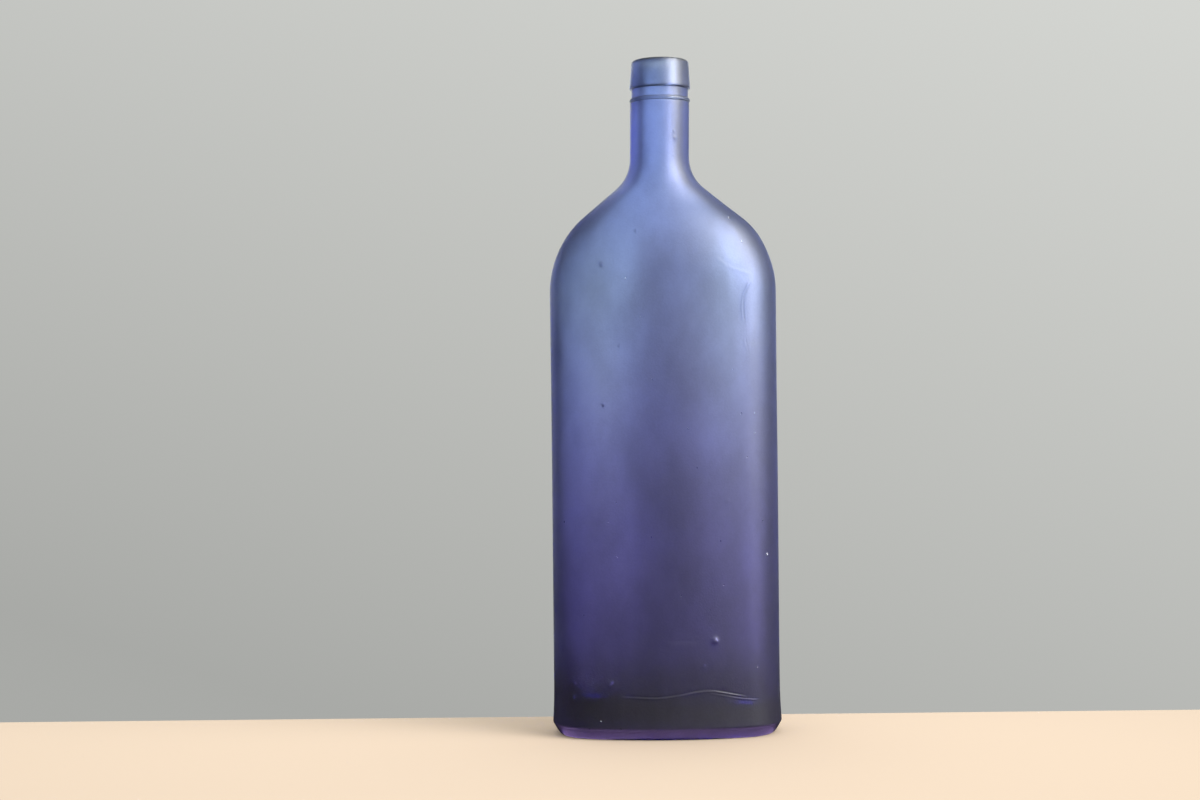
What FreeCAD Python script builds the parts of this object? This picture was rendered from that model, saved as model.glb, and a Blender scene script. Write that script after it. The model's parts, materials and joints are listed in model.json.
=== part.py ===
"""Tall flask-shaped glass bottle with an applied lip.

The bottle stands on the XY plane. Its origin is the middle of its base, +Z runs up through the
mouth, X is the broad way and Y the narrow way. It is built from three pieces of glass, as such a
bottle is: the blown body with its neck, the lip that is laid round the end of the neck, and the
thin string ring that is trailed round the neck below it. All sizes are in millimetres.
"""

import FreeCAD
import Part
import math
import os

# ---- driving dimensions ------------------------------------------------------------------
HEIGHT = 335.0

BODY_HALF_WIDTH = 56.5
BODY_HALF_DEPTH = 28.5

HEEL_FLARE = 0.6            # the wall stands out this much at the mould's lower parting line
HEEL_EDGE_Z = 5.0           # height of that parting line
HEEL_FLARE_TOP_Z = 24.0
FOOT_INSET = 3.0            # the foot draws in this much below the parting line
BEARING_WIDTH = 5.0         # flat ring that the bottle stands on
PUSH_UP_DEPTH = 4.0         # hollow in the middle of the underside
PUSH_UP_ROUNDING = 14.0     # how far the hollow's rounded rim reaches in

END_ROUNDING = 6.6          # larger, and an oval section's ends are tighter

SHOULDER_START_Z = 219.7
SHOULDER_RADIUS = 48.6      # convex arc of the broad outline
SHOULDER_SLOPE = 50.2       # degrees from upright, between the two arcs
NECK_FILLET_RADIUS = 20.0   # concave arc of the broad outline
SIDE_SHOULDER_RADIUS = 75.0  # convex arc of the narrow outline
SIDE_NECK_RADIUS = 60.0     # concave arc of the narrow outline

NECK_RADIUS = 14.75
GROOVE_RADIUS = 14.1
NECK_END_RADIUS = 12.2      # the neck's end, inside the lip
BORE_RADIUS = 9.25
BORE_LENGTH = 42.0
MOUTH_CHAMFER = 0.8

LIP_HEIGHT = 14.4
LIP_LOWER_RADIUS = 15.2
LIP_UPPER_RADIUS = 14.3
LIP_EDGE_RADIUS = 1.5
LIP_FOOT_CHAMFER = 0.4
STRING_RADIUS = 15.1
STRING_HEIGHT = 2.2
STRING_Z = 314.0

WALL = 3.3                  # glass at the shoulder
LOWER_WALL = 4.4            # glass low on the body, where it settles
FLOOR_Z = 15.0              # top of the solid glass of the base
FLOOR_FILLET = 13.0         # round between the inner floor and the inner wall

SHOULDER_STEPS = 14         # sections that the shoulder is lofted through
FLOOR_STEPS = 6             # sections that the inner floor's rounding is lofted through
NEARLY_ROUND = 0.01         # a section whose half sizes differ by less than this is a circle
CIRCLE_JOIN = math.radians(53)   # where a circular section's four arcs meet, as on a slim oval

# ---- sizes worked out from them ----------------------------------------------------------
UP = FreeCAD.Vector(0, 0, 1)
LIP_Z = HEIGHT - LIP_HEIGHT


def arc_between(start, middle, end):
    return Part.Arc(FreeCAD.Vector(*start), FreeCAD.Vector(*middle), FreeCAD.Vector(*end)).toShape()


def section(z, half_width, half_depth):
    """Oval wire of four tangent arcs: two long ones across the faces, two tight ones at the ends.

    It is a circle where both halves are equal.
    """
    excess = half_width - half_depth
    if excess < NEARLY_ROUND:
        end_radius, end_x = half_depth, 0.0
        turn = CIRCLE_JOIN
    else:
        drop = excess / (2 + excess / END_ROUNDING)
        end_radius = half_depth - drop
        end_x = half_width - end_radius
        face_radius = (end_x**2 + half_depth**2 - end_radius**2) / (2 * drop)
        turn = math.atan2(face_radius - half_depth, end_x)
    x = end_x + end_radius * math.cos(turn)
    y = end_radius * math.sin(turn)
    edges = [
        arc_between((x, -y, z), (half_width, 0, z), (x, y, z)),
        arc_between((x, y, z), (0, half_depth, z), (-x, y, z)),
        arc_between((-x, y, z), (-half_width, 0, z), (-x, -y, z)),
        arc_between((-x, -y, z), (0, -half_depth, z), (x, -y, z)),
    ]
    return Part.Wire(edges)


def loft(sections, straight=False):
    """Solid through (z, half width, half depth) sections."""
    return Part.makeLoft([section(*s) for s in sections], True, straight)


def s_curve(z, start_z, outer, inner, convex, concave, slope):
    """Half size at height z of an outline that turns in by a convex arc, a straight run at slope
    from upright, and a concave arc. It is outer at start_z and ends at inner."""
    sine, cosine = math.sin(slope), math.cos(slope)
    run = (outer - inner - (convex + concave) * (1 - cosine)) / sine
    convex_top = start_z + convex * sine
    run_top = convex_top + run * cosine
    end_z = run_top + concave * sine
    if z <= start_z:
        return outer
    if z <= convex_top:
        return outer - convex + math.sqrt(convex**2 - (z - start_z) ** 2)
    if z <= run_top:
        return outer - convex * (1 - cosine) - (z - convex_top) * math.tan(slope)
    if z < end_z:
        return inner + concave - math.sqrt(concave**2 - (end_z - z) ** 2)
    return inner


def side_slope():
    """Slope at which the two side arcs meet, with no straight run between them."""
    turn_in = BODY_HALF_DEPTH - NECK_RADIUS
    return math.acos(1 - turn_in / (SIDE_SHOULDER_RADIUS + SIDE_NECK_RADIUS))


def neck_start_z():
    """Height at which the broad outline reaches the neck."""
    slope = math.radians(SHOULDER_SLOPE)
    arcs = SHOULDER_RADIUS + NECK_FILLET_RADIUS
    run = (BODY_HALF_WIDTH - NECK_RADIUS - arcs * (1 - math.cos(slope))) / math.sin(slope)
    return SHOULDER_START_Z + arcs * math.sin(slope) + run * math.cos(slope)


NECK_START_Z = neck_start_z()
SIDE_START_Z = NECK_START_Z - math.sin(side_slope()) * (SIDE_SHOULDER_RADIUS + SIDE_NECK_RADIUS)


def half_width_at(z):
    slope = math.radians(SHOULDER_SLOPE)
    return s_curve(
        z, SHOULDER_START_Z, BODY_HALF_WIDTH, NECK_RADIUS, SHOULDER_RADIUS, NECK_FILLET_RADIUS, slope
    )


def half_depth_at(z):
    return s_curve(
        z, SIDE_START_Z, BODY_HALF_DEPTH, NECK_RADIUS, SIDE_SHOULDER_RADIUS, SIDE_NECK_RADIUS, side_slope()
    )


def outer_block():
    """The body's outside as one solid, from the foot to the start of the neck."""
    heel_width = BODY_HALF_WIDTH + HEEL_FLARE
    heel_depth = BODY_HALF_DEPTH + HEEL_FLARE
    foot = loft(
        [(0, heel_width - FOOT_INSET, heel_depth - FOOT_INSET), (HEEL_EDGE_Z, heel_width, heel_depth)],
        straight=True,
    )
    heel = loft(
        [(HEEL_EDGE_Z, heel_width, heel_depth), (HEEL_FLARE_TOP_Z, BODY_HALF_WIDTH, BODY_HALF_DEPTH)],
        straight=True,
    )
    wall = loft(
        [
            (HEEL_FLARE_TOP_Z, BODY_HALF_WIDTH, BODY_HALF_DEPTH),
            (SHOULDER_START_Z, BODY_HALF_WIDTH, BODY_HALF_DEPTH),
        ],
        straight=True,
    )
    rise = (NECK_START_Z - SHOULDER_START_Z) / SHOULDER_STEPS
    heights = [SHOULDER_START_Z + rise * i for i in range(SHOULDER_STEPS)]
    shoulder = loft(
        [(z, half_width_at(z), half_depth_at(z)) for z in heights] + [(NECK_START_Z, NECK_RADIUS, NECK_RADIUS)]
    )
    return foot.fuse([heel, wall, shoulder])


def revolved(outline):
    """Solid turned about the Z axis from (radius, z) points of a closed outline."""
    points = [FreeCAD.Vector(r, 0, z) for r, z in outline]
    face = Part.Face(Part.makePolygon(points + points[:1]))
    return face.revolve(FreeCAD.Vector(0, 0, 0), UP, 360)


def neck_block():
    """Outside of the neck: the plain tube, the seat of the string ring and the narrowed end."""
    return revolved(
        [
            (0, NECK_START_Z),
            (NECK_RADIUS, NECK_START_Z),
            (NECK_RADIUS, STRING_Z),
            (GROOVE_RADIUS, STRING_Z),
            (GROOVE_RADIUS, LIP_Z),
            (NECK_END_RADIUS, LIP_Z),
            (NECK_END_RADIUS, HEIGHT),
            (0, HEIGHT),
        ]
    )


def wall_at(z):
    """Thickness of the glass at height z: heavier low down."""
    share = (z - FLOOR_Z) / (SHOULDER_START_Z - FLOOR_Z)
    return LOWER_WALL + (WALL - LOWER_WALL) * min(1, max(0, share))


def cavity():
    """The space inside: floor, walls, shoulder and bore."""
    fillet_top = FLOOR_Z + FLOOR_FILLET
    floor = []
    for i in range(FLOOR_STEPS + 1):
        angle = math.radians(90) * i / FLOOR_STEPS
        inset = FLOOR_FILLET * (1 - math.sin(angle))
        z = fillet_top - FLOOR_FILLET * math.cos(angle)
        thickness = wall_at(fillet_top) + inset
        floor.append((z, BODY_HALF_WIDTH - thickness, BODY_HALF_DEPTH - thickness))
    low, high = wall_at(fillet_top), wall_at(SHOULDER_START_Z)
    walls = [
        (fillet_top, BODY_HALF_WIDTH - low, BODY_HALF_DEPTH - low),
        (SHOULDER_START_Z, BODY_HALF_WIDTH - high, BODY_HALF_DEPTH - high),
    ]
    bore_start = HEIGHT - MOUTH_CHAMFER - BORE_LENGTH
    rise = (bore_start - SHOULDER_START_Z) / SHOULDER_STEPS
    shoulder = []
    for i in range(SHOULDER_STEPS):
        z = SHOULDER_START_Z + rise * i
        lean = (z - SHOULDER_START_Z) / (bore_start - SHOULDER_START_Z)
        thickness = WALL + (NECK_RADIUS - BORE_RADIUS - WALL) * lean
        # The inner outline is the outer one, a little lower where the shoulder slopes.
        drop = WALL * 0.5 * math.sin(math.pi * lean)
        shoulder.append((z, half_width_at(z + drop) - thickness, half_depth_at(z + drop) - thickness))
    shoulder.append((bore_start, BORE_RADIUS, BORE_RADIUS))
    bore = Part.makeCylinder(BORE_RADIUS, HEIGHT - bore_start, FreeCAD.Vector(0, 0, bore_start), UP)
    mouth = Part.makeCone(
        BORE_RADIUS,
        BORE_RADIUS + 2 * MOUTH_CHAMFER,
        2 * MOUTH_CHAMFER,
        FreeCAD.Vector(0, 0, HEIGHT - MOUTH_CHAMFER),
        UP,
    )
    return loft(floor).fuse([loft(walls, straight=True), loft(shoulder), bore, mouth])


def push_up():
    """Shallow oval dish under the base."""
    foot_width = BODY_HALF_WIDTH + HEEL_FLARE - FOOT_INSET - BEARING_WIDTH
    foot_depth = BODY_HALF_DEPTH + HEEL_FLARE - FOOT_INSET - BEARING_WIDTH
    dish = []
    for share in (0.0, 0.3, 0.6, 0.85, 1.0):
        inset = PUSH_UP_ROUNDING * (1 - math.sqrt(1 - share**2))
        dish.append((PUSH_UP_DEPTH * share, foot_width - inset, foot_depth - inset))
    return loft(dish)


def blown_body():
    outside = outer_block().fuse(neck_block()).removeSplitter()
    return outside.cut(cavity()).cut(push_up())


def applied_lip():
    """Tapered collar round the neck's end."""
    edge_z = HEIGHT - LIP_EDGE_RADIUS
    slope_r = LIP_UPPER_RADIUS - LIP_EDGE_RADIUS
    diagonal = LIP_EDGE_RADIUS * math.sqrt(0.5)
    corners = [
        (slope_r, HEIGHT),
        (NECK_END_RADIUS, HEIGHT),
        (NECK_END_RADIUS, LIP_Z),
        (LIP_LOWER_RADIUS - LIP_FOOT_CHAMFER, LIP_Z),
        (LIP_LOWER_RADIUS, LIP_Z + LIP_FOOT_CHAMFER),
        (LIP_UPPER_RADIUS, edge_z),
    ]
    points = [FreeCAD.Vector(r, 0, z) for r, z in corners]
    edges = [Part.LineSegment(a, b).toShape() for a, b in zip(points, points[1:])]
    edges.append(
        arc_between(
            (LIP_UPPER_RADIUS, 0, edge_z), (slope_r + diagonal, 0, edge_z + diagonal), (slope_r, 0, HEIGHT)
        )
    )
    return Part.Face(Part.Wire(edges)).revolve(FreeCAD.Vector(0, 0, 0), UP, 360)


def string_ring():
    """Thin half-round ring below the groove."""
    top_z = STRING_Z + STRING_HEIGHT
    flat = FreeCAD.Vector(GROOVE_RADIUS, 0, top_z), FreeCAD.Vector(GROOVE_RADIUS, 0, STRING_Z)
    outline = [
        Part.LineSegment(*flat).toShape(),
        arc_between(
            (GROOVE_RADIUS, 0, STRING_Z),
            (STRING_RADIUS, 0, STRING_Z + STRING_HEIGHT / 2),
            (GROOVE_RADIUS, 0, top_z),
        ),
    ]
    return Part.Face(Part.Wire(outline)).revolve(FreeCAD.Vector(0, 0, 0), UP, 360)


def main():
    os.makedirs("parts", exist_ok=True)
    pieces = {
        "blown_body": blown_body(),
        "applied_lip": applied_lip(),
        "string_ring": string_ring(),
    }
    for name, shape in pieces.items():
        solid = shape.Solids[0]
        print(name, "solids", len(shape.Solids), "valid", solid.isValid(), "cm3", round(solid.Volume / 1000, 2))
        solid.exportStep(f"parts/{name}.step")


main()
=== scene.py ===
"""A tall flask-shaped bottle of blue frosted glass, with an applied lip and a thin string ring.

The glass is turned as round rings, pressed to the flask's oval sections, and given the small
faults of hand work: a neck that leans, folds, blisters, chips and seeds.
"""

import json
import math
import random

import bmesh
import bpy
from mathutils import Matrix, Vector, noise


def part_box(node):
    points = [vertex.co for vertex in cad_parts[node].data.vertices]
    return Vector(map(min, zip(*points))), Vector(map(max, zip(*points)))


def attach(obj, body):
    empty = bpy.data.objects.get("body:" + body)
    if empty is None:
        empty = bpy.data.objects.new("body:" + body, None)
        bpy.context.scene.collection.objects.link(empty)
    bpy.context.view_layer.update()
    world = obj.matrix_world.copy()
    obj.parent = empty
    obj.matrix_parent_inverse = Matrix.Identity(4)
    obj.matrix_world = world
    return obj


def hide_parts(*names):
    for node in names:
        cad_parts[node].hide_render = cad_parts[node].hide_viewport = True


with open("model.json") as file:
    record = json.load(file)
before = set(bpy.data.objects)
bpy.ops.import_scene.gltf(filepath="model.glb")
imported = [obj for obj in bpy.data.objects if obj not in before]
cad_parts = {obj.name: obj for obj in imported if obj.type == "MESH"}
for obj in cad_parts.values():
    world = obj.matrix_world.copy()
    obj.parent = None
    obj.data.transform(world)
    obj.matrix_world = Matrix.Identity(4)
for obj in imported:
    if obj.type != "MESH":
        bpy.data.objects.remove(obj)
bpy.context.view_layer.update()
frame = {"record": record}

MM = 0.001

# ---- sizes of the glass, read from the frame ---------------------------------------------
body_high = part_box("blown_body")[1]
lip_low, lip_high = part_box("applied_lip")
ring_low, ring_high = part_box("string_ring")
bore = next(m for m in frame["record"]["mounts"] if m["name"] == "cork_bore")

HEIGHT = body_high.z
LIP_Z = lip_low.z
LIP_LOWER_RADIUS = lip_high.x
STRING_Z = ring_low.z
STRING_TOP_Z = ring_high.z
STRING_RADIUS = ring_high.x
BORE_RADIUS = bore["dims"]["r_mm"] * MM
BORE_START_Z = bore["pos_m"][2] - bore["dims"]["length_mm"] * MM

HEEL_FLARE = 0.6 * MM
HEEL_HALF_WIDTH = body_high.x
HEEL_HALF_DEPTH = body_high.y
HALF_WIDTH = HEEL_HALF_WIDTH - HEEL_FLARE
HALF_DEPTH = HEEL_HALF_DEPTH - HEEL_FLARE
HEEL_Z = 6.3 * MM
HEEL_TOP_Z = 24.0 * MM
FOOT_INSET = 3.0 * MM
BEARING_WIDTH = 5.0 * MM
PUSH_UP_DEPTH = 4.0 * MM
END_ROUNDING = 6.6

SHOULDER_Z = 219.7 * MM
SHOULDER_RADIUS = 48.6 * MM
NECK_FILLET = 20.0 * MM
SHOULDER_SLOPE = math.radians(50.2)
SIDE_SHOULDER_RADIUS = 75.0 * MM
SIDE_NECK_RADIUS = 60.0 * MM

NECK_RADIUS = 14.75 * MM
GROOVE_RADIUS = 14.1 * MM
NECK_END_RADIUS = 12.2 * MM
LIP_UPPER_RADIUS = 14.3 * MM
LIP_EDGE_RADIUS = 1.5 * MM
FUSED = 0.05 * MM           # joined pieces reach this far into each other, so no air lies between them

WALL = 3.3 * MM
LOWER_WALL = 4.4 * MM
FLOOR_Z = 15.0 * MM
FLOOR_FILLET = 11.0 * MM
FLOOR_TOP_Z = 48.0 * MM
FLOOR_SLANT = 3.2 * MM      # the floor is this much higher at the left edge, and lower at the right
MIDDLE_THICKER = 1.3 * MM   # the wall is this much thicker up the middle
ASIDE_THINNER = 0.5 * MM    # and thinner to either side of it
OUTER_WAVES = 0.16 * MM
INNER_LONG_WAVES = 0.8 * MM
INNER_SHORT_WAVES = 0.5 * MM
WAVES_TOP_Z = HEIGHT - 60 * MM

STEPS_ROUND = 200           # faces round the bottle
QUARTER = math.pi / 2


# ---- the flask's outline -----------------------------------------------------------------
def s_curve(z, start_z, outer, inner, convex, concave, slope):
    """Half size at height z of an outline that turns in by two arcs with a straight run between."""
    sine = math.sin(slope)
    cosine = math.cos(slope)
    run = (outer - inner - (convex + concave) * (1 - cosine)) / sine
    convex_top = start_z + convex * sine
    run_top = convex_top + run * cosine
    end_z = run_top + concave * sine
    if z <= start_z:
        return outer
    if z <= convex_top:
        return outer - convex + math.sqrt(convex**2 - (z - start_z) ** 2)
    if z <= run_top:
        return outer - convex * (1 - cosine) - (z - convex_top) * math.tan(slope)
    if z < end_z:
        return inner + concave - math.sqrt(concave**2 - (end_z - z) ** 2)
    return inner


def neck_start():
    """Height at which the broad outline has reached the neck."""
    arcs = SHOULDER_RADIUS + NECK_FILLET
    turned_in = arcs * (1 - math.cos(SHOULDER_SLOPE))
    run = (HALF_WIDTH - NECK_RADIUS - turned_in) / math.sin(SHOULDER_SLOPE)
    return SHOULDER_Z + arcs * math.sin(SHOULDER_SLOPE) + run * math.cos(SHOULDER_SLOPE)


NECK_Z = neck_start()
SIDE_SLOPE = math.acos(1 - (HALF_DEPTH - NECK_RADIUS) / (SIDE_SHOULDER_RADIUS + SIDE_NECK_RADIUS))
SIDE_Z = NECK_Z - math.sin(SIDE_SLOPE) * (SIDE_SHOULDER_RADIUS + SIDE_NECK_RADIUS)


def half_width_at(z):
    return s_curve(z, SHOULDER_Z, HALF_WIDTH, NECK_RADIUS, SHOULDER_RADIUS, NECK_FILLET, SHOULDER_SLOPE)


def half_depth_at(z):
    return s_curve(z, SIDE_Z, HALF_DEPTH, NECK_RADIUS, SIDE_SHOULDER_RADIUS, SIDE_NECK_RADIUS, SIDE_SLOPE)


def heel_flare_at(z):
    """How far the wall stands out near the heel."""
    share = min(1.0, max(0.0, (HEEL_TOP_Z - z) / (HEEL_TOP_Z - HEEL_Z)))
    return HEEL_FLARE * share * share


def wall_at(z):
    share = min(1.0, max(0.0, (z - FLOOR_Z) / (SHOULDER_Z - FLOOR_Z)))
    return LOWER_WALL + (WALL - LOWER_WALL) * share


def steps(start, end, size):
    """Heights from start to end, about size apart, without the last one."""
    count = max(1, round(abs(end - start) / size))
    return [start + (end - start) * i / count for i in range(count)]


# ---- pressing rings to ovals -------------------------------------------------------------
def oval_parts(half_width, half_depth):
    """End radius, end centre, face radius and the angle where the arcs meet, of a four-arc oval."""
    excess = half_width - half_depth
    if excess < 1e-7:
        return half_depth, 0.0, half_depth, math.radians(53)
    drop = excess / (2 + excess / (END_ROUNDING * MM))
    end_radius = half_depth - drop
    end_x = half_width - end_radius
    face_radius = (end_x**2 + half_depth**2 - end_radius**2) / (2 * drop)
    return end_radius, end_x, face_radius, math.atan2(face_radius - half_depth, end_x)


def oval_quarter(share, half_width, half_depth):
    """Point at this share of the length of an oval's quarter, from the X axis to the Y axis."""
    end_radius, end_x, face_radius, turn = oval_parts(half_width, half_depth)
    end_length = end_radius * turn
    face_length = face_radius * (QUARTER - turn)
    along = share * (end_length + face_length)
    if along < end_length:
        angle = along / end_radius
        return end_x + end_radius * math.cos(angle), end_radius * math.sin(angle)
    angle = turn + (along - end_length) / face_radius
    return face_radius * math.cos(angle), half_depth - face_radius + face_radius * math.sin(angle)


def oval_depth(x, half_width, half_depth):
    """Half depth of an oval at a distance x from its middle."""
    end_radius, end_x, face_radius, turn = oval_parts(half_width, half_depth)
    x = abs(x)
    if x > end_x + end_radius * math.cos(turn):
        return math.sqrt(max(0.0, end_radius**2 - (x - end_x) ** 2))
    return half_depth - face_radius + math.sqrt(face_radius**2 - x**2)


def press_oval(bm, depth_layer):
    """Moves each turned ring's points from its circle to its oval."""
    for vert in bm.verts:
        radius = math.hypot(vert.co.x, vert.co.y)
        if radius < 1e-6:
            continue
        angle = math.atan2(vert.co.y, vert.co.x) % (2 * math.pi)
        quarter = int(angle / QUARTER + 1e-6) % 4
        share = min(1.0, max(0.0, angle / QUARTER - quarter))
        if quarter % 2:
            share = 1 - share
        x, y = oval_quarter(share, radius, vert[depth_layer])
        vert.co.x = x if quarter in (0, 3) else -x
        vert.co.y = y if quarter in (0, 1) else -y


# ---- the neck's lean and the shoulders' unevenness ---------------------------------------
LEAN_Z = 225 * MM
LEAN_AT_NECK = -1.0 * MM
LEAN_AT_MOUTH = -0.3 * MM
FULL_SHOULDER = 0.8 * MM    # the right shoulder is this much fuller
FULL_SHOULDER_Z = 251 * MM
FULL_SHOULDER_SPREAD = 9 * MM


def smooth_step(share):
    share = min(1.0, max(0.0, share))
    return share * share * (3 - 2 * share)


def bell(distance, spread):
    return math.exp(-((distance / spread) ** 2))


def lean_at(z):
    """How far the glass stands off the upright axis at height z."""
    if z < NECK_Z:
        return LEAN_AT_NECK * smooth_step((z - LEAN_Z) / (NECK_Z - LEAN_Z))
    return LEAN_AT_NECK + (LEAN_AT_MOUTH - LEAN_AT_NECK) * (z - NECK_Z) / (HEIGHT - NECK_Z)


def lean(bm):
    for vert in bm.verts:
        x, z = vert.co.x, vert.co.z
        if x > 0:
            fullness = FULL_SHOULDER * bell(z - FULL_SHOULDER_Z, FULL_SHOULDER_SPREAD)
            vert.co.x += fullness * min(1.0, x / half_width_at(z))
        vert.co.x += lean_at(z)


# ---- turning -----------------------------------------------------------------------------
def turn(bm, outline, depth_layer, frost_layer):
    """Spins an outline of (half width, half depth, height, frost) points once round the axis."""
    points = []
    for half_width, half_depth, z, frost in outline:
        vert = bm.verts.new((half_width, 0, z))
        vert[depth_layer] = half_depth
        vert[frost_layer] = frost
        points.append(vert)
    edges = [bm.edges.new(pair) for pair in zip(points, points[1:])]
    bmesh.ops.spin(
        bm,
        geom=points + edges,
        cent=(0, 0, 0),
        axis=(0, 0, 1),
        dvec=(0, 0, 0),
        angle=2 * math.pi,
        steps=STEPS_ROUND,
        use_merge=True,
        use_duplicate=False,
    )
    bmesh.ops.remove_doubles(bm, verts=bm.verts, dist=1e-7)
    bmesh.ops.recalc_face_normals(bm, faces=bm.faces)


def finished(name, bm, material, node):
    """Makes the object, and lets it ride, replace its node and take its slot's finish."""
    mesh = bpy.data.meshes.new(name)
    bm.to_mesh(mesh)
    bm.free()
    piece = bpy.data.objects.new(name, mesh)
    bpy.context.scene.collection.objects.link(piece)
    mesh.materials.append(material)
    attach(piece, "root")
    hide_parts(node)
    return piece


# ---- blown body --------------------------------------------------------------------------
def body_outline():
    """Closed outline of the body from the middle of its underside to the middle of its floor."""
    outline = []

    def add(half_width, half_depth, z, frost=1.0):
        outline.append((half_width, half_depth, z, frost))

    # Underside: a shallow dish, then the bearing ring.
    rim_width = HEEL_HALF_WIDTH - FOOT_INSET - BEARING_WIDTH
    rim_depth = HEEL_HALF_DEPTH - FOOT_INSET - BEARING_WIDTH
    for share in (0, 0.15, 0.3, 0.45, 0.6, 0.7, 0.78, 0.85, 0.9, 0.94, 0.97, 0.99):
        add(rim_width * share, rim_depth * share, PUSH_UP_DEPTH * math.sqrt(1 - share**4))
    for out, z in ((0, 0.12), (0.6, 0), (2.6, 0), (3.6, 0.08), (4.3, 0.35), (4.9, 0.9)):
        add(rim_width + out * MM, rim_depth + out * MM, z * MM)
    # Foot: a rounded band, drawn in under the heel's parting edge.
    for inset, z in ((2.45, 1.7), (1.95, 2.5), (1.5, 3.2), (1.15, 3.8), (0.92, 4.3), (0.86, 4.6)):
        add(HEEL_HALF_WIDTH - inset * MM, HEEL_HALF_DEPTH - inset * MM, z * MM)
    for inset, z in ((0.62, 4.85), (0.36, 5.15), (0.18, 5.5), (0.06, 5.9), (0.0, 6.3), (0.04, 6.7)):
        add(HEEL_HALF_WIDTH - inset * MM, HEEL_HALF_DEPTH - inset * MM, z * MM)
    # Wall, shoulder and neck.
    for z in steps(7.4 * MM, HEEL_TOP_Z, 1.5 * MM):
        add(HALF_WIDTH + heel_flare_at(z), HALF_DEPTH + heel_flare_at(z), z)
    for z in steps(HEEL_TOP_Z, SHOULDER_Z, 2.4 * MM):
        add(HALF_WIDTH, HALF_DEPTH, z)
    for z in steps(SHOULDER_Z, NECK_Z, 1.2 * MM):
        add(half_width_at(z), half_depth_at(z), z)
    for z in steps(NECK_Z, STRING_Z - 0.4 * MM, 2.0 * MM):
        add(NECK_RADIUS, NECK_RADIUS, z)
    # Seat of the string ring, and the end of the neck inside the lip.
    for radius, z in (
        (NECK_RADIUS, STRING_Z - 0.4 * MM),
        (NECK_RADIUS - 0.1 * MM, STRING_Z - 0.1 * MM),
        (GROOVE_RADIUS, STRING_Z),
        (GROOVE_RADIUS, STRING_TOP_Z),
        (GROOVE_RADIUS, (STRING_TOP_Z + LIP_Z) / 2),
        (GROOVE_RADIUS, LIP_Z),
    ):
        add(radius, radius, z)
    add(GROOVE_RADIUS, GROOVE_RADIUS, LIP_Z + FUSED, 0.0)
    end_radius = NECK_END_RADIUS + FUSED
    for z in [LIP_Z + FUSED] + steps(LIP_Z + 2 * MM, HEIGHT - 0.5 * MM, 2.5 * MM):
        add(end_radius, end_radius, z, 0.0)
    add(end_radius, end_radius, HEIGHT - 0.05 * MM, 0.0)
    # Mouth: fire-polished round into the bore.
    for inset, drop in ((0.3, 0.0), (0.9, 0.04), (1.6, 0.16), (2.1, 0.4), (2.5, 0.8), (2.8, 1.4)):
        add(end_radius - inset * MM, end_radius - inset * MM, HEIGHT - drop * MM)
    add(BORE_RADIUS + 0.05 * MM, BORE_RADIUS + 0.05 * MM, HEIGHT - 2.4 * MM, 1.0)
    add(BORE_RADIUS, BORE_RADIUS, HEIGHT - 3.6 * MM, 0.8)
    for z in steps(HEIGHT - 6 * MM, BORE_START_Z, 3 * MM):
        add(BORE_RADIUS, BORE_RADIUS, z, 0.3)
    # Inside of the shoulder.
    for z in steps(BORE_START_Z, SHOULDER_Z, 1.6 * MM):
        rise = (z - SHOULDER_Z) / (BORE_START_Z - SHOULDER_Z)
        thickness = WALL + (NECK_RADIUS - BORE_RADIUS - WALL) * rise
        drop = WALL * 0.5 * math.sin(math.pi * rise)
        add(half_width_at(z + drop) - thickness, half_depth_at(z + drop) - thickness, z, 0.0)
    # Inner wall, the floor's rounding and the floor.
    fillet_top = FLOOR_Z + FLOOR_FILLET
    for z in steps(SHOULDER_Z, fillet_top, 3.0 * MM):
        add(HALF_WIDTH - wall_at(z), HALF_DEPTH - wall_at(z), z, 0.0)
    for i in range(13):
        angle = QUARTER * i / 12
        inset = wall_at(fillet_top) + FLOOR_FILLET * (1 - math.cos(angle))
        add(HALF_WIDTH - inset, HALF_DEPTH - inset, fillet_top - FLOOR_FILLET * math.sin(angle), 0.0)
    floor_width = HALF_WIDTH - wall_at(fillet_top) - FLOOR_FILLET
    floor_depth = HALF_DEPTH - wall_at(fillet_top) - FLOOR_FILLET
    for share in (0.85, 0.7, 0.55, 0.4, 0.25, 0.1, 0.0):
        add(floor_width * share, floor_depth * share, FLOOR_Z, 0.0)
    return outline


def wave(place, x_scale, z_scale, seed):
    """Smooth noise between about -0.5 and 0.5, with its own grain across and upwards."""
    return noise.noise(Vector((place.x * x_scale + seed, place.y * x_scale, place.z * z_scale)))


def hand_waves(bm, frost_layer):
    """Slow waves in the blown wall: slight outside, stronger and mostly upright inside."""
    for vert in bm.verts:
        co = vert.co
        if co.z > WAVES_TOP_Z or co.z < HEEL_Z:
            continue
        fade = smooth_step((WAVES_TOP_Z - co.z) / (40 * MM)) * smooth_step((co.z - HEEL_Z) / (20 * MM))
        if vert[frost_layer] > 0.5:
            amount = OUTER_WAVES * (wave(co, 22, 12, 0) - 0.5)
        else:
            amount = INNER_LONG_WAVES * wave(co, 60, 9, 7) + INNER_SHORT_WAVES * wave(co, 40, 26, 3)
            amount += MIDDLE_THICKER * bell(co.x - 2 * MM, 11 * MM)
            amount -= ASIDE_THINNER * bell(abs(co.x) - 31 * MM, 9 * MM)
        vert.co += vert.normal * amount * fade


def slant_floor(bm, frost_layer):
    """The thick glass of the floor stands higher at the left."""
    for vert in bm.verts:
        if vert[frost_layer] < 0.5 and vert.co.z < FLOOR_TOP_Z:
            share = smooth_step((FLOOR_TOP_Z - vert.co.z) / (FLOOR_TOP_Z - FLOOR_Z))
            vert.co.z -= FLOOR_SLANT * share * vert.co.x / HALF_WIDTH


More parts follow.
